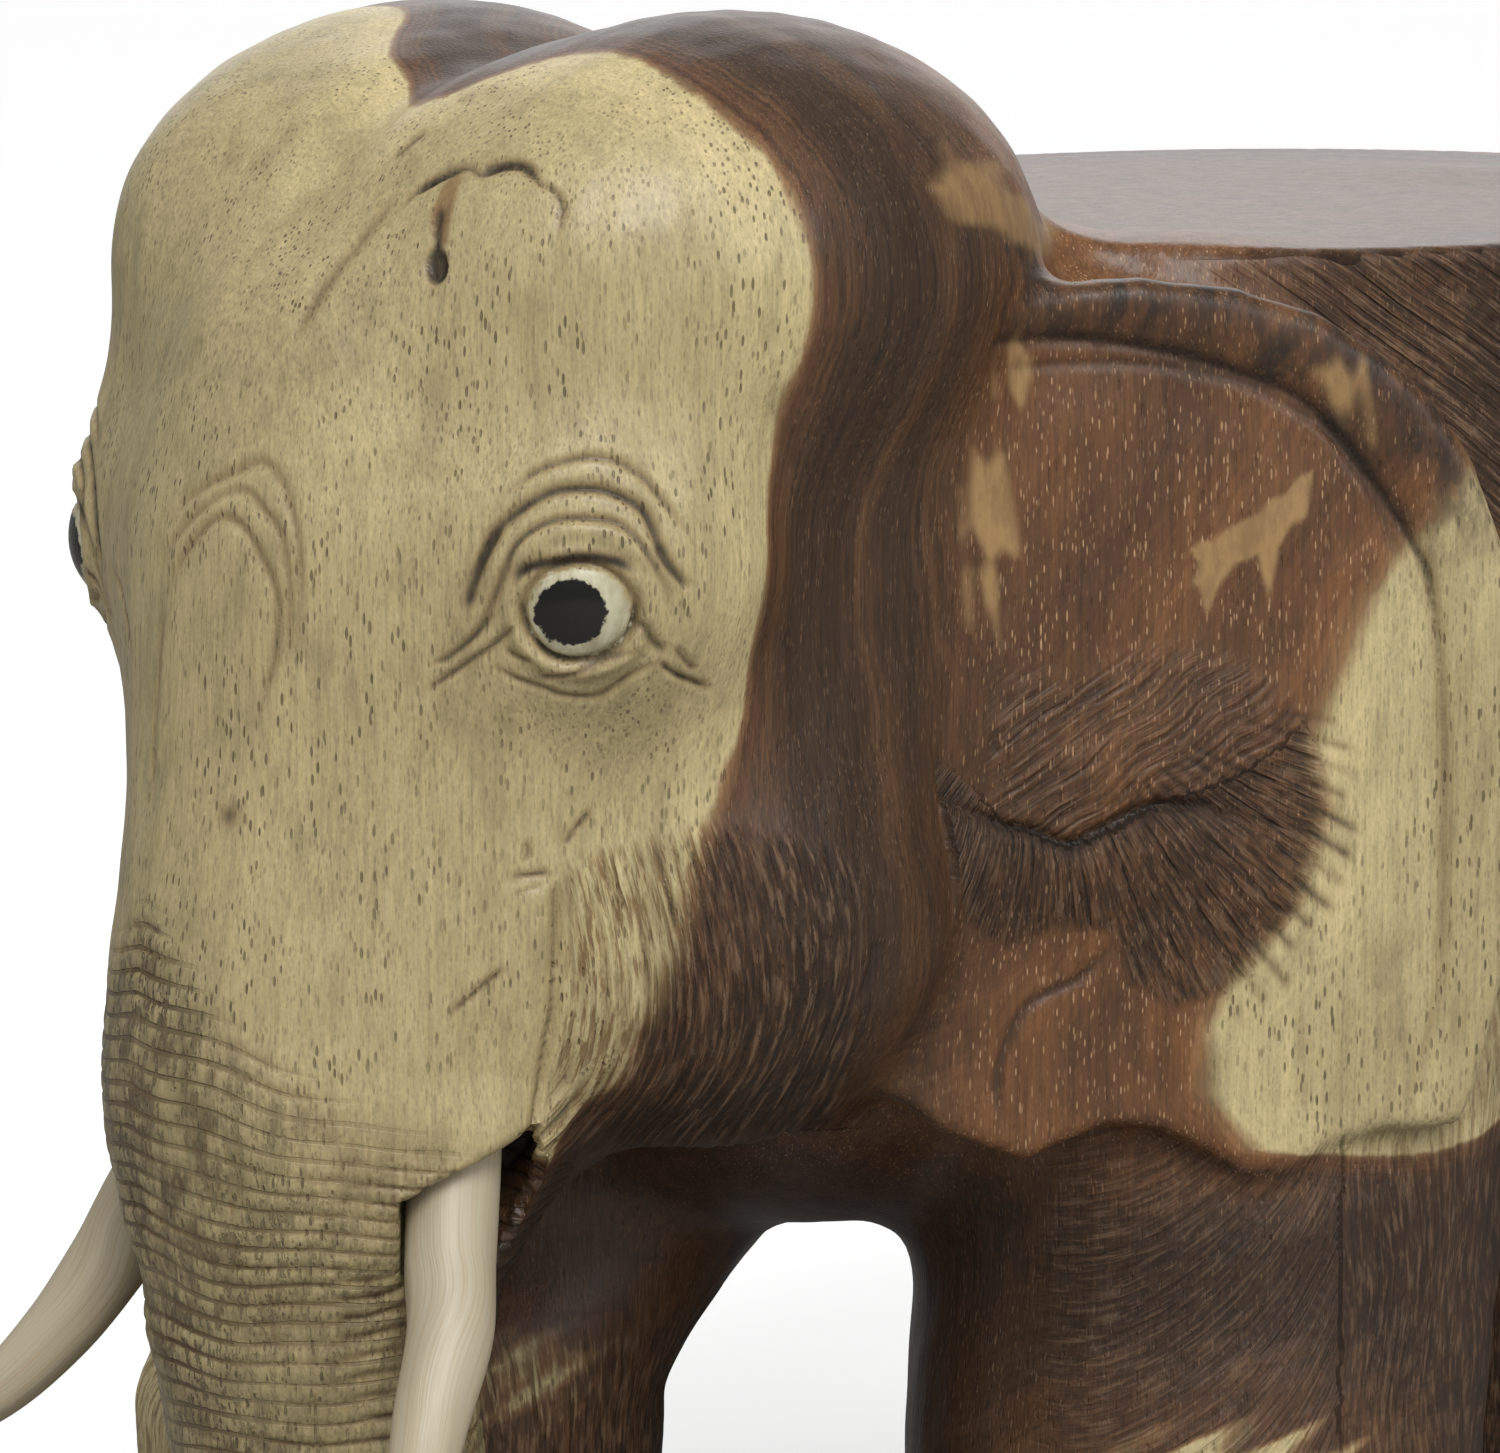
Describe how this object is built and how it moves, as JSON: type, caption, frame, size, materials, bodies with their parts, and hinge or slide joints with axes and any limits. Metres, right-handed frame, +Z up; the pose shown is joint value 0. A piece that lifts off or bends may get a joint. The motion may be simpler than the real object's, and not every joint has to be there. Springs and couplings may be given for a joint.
{
  "type": "carved elephant",
  "caption": "Carved wooden elephant standing on all fours, with a flat seat on its back and pale wooden tusks pushed into drilled sockets.",
  "frame": {"origin": "on the floor, under the middle of the elephant's overall box", "axes": "+Z up, the elephant faces -Y, its left side is +X"},
  "size_m": [0.2136, 0.3884, 0.2979],
  "materials": {
    "carved_wood": "satin varnish over dark heartwood and cream sapwood",
    "tusk_wood": "smooth pale close-grained wood under satin varnish"
  },
  "bodies": {
    "body": {"carved_body": "carved_wood"},
    "left_tusk": {"left_tusk": "tusk_wood"},
    "right_tusk": {"right_tusk": "tusk_wood"}
  },
  "joints": [
    {"name": "left_tusk_pull", "type": "slide", "parent": "body", "child": "left_tusk", "axis": [0.33, -0.4, -0.855], "range_m": [0, 0.022]},
    {"name": "right_tusk_pull", "type": "slide", "parent": "body", "child": "right_tusk", "axis": [-0.33, -0.4, -0.855], "range_m": [0, 0.022]}
  ]
}
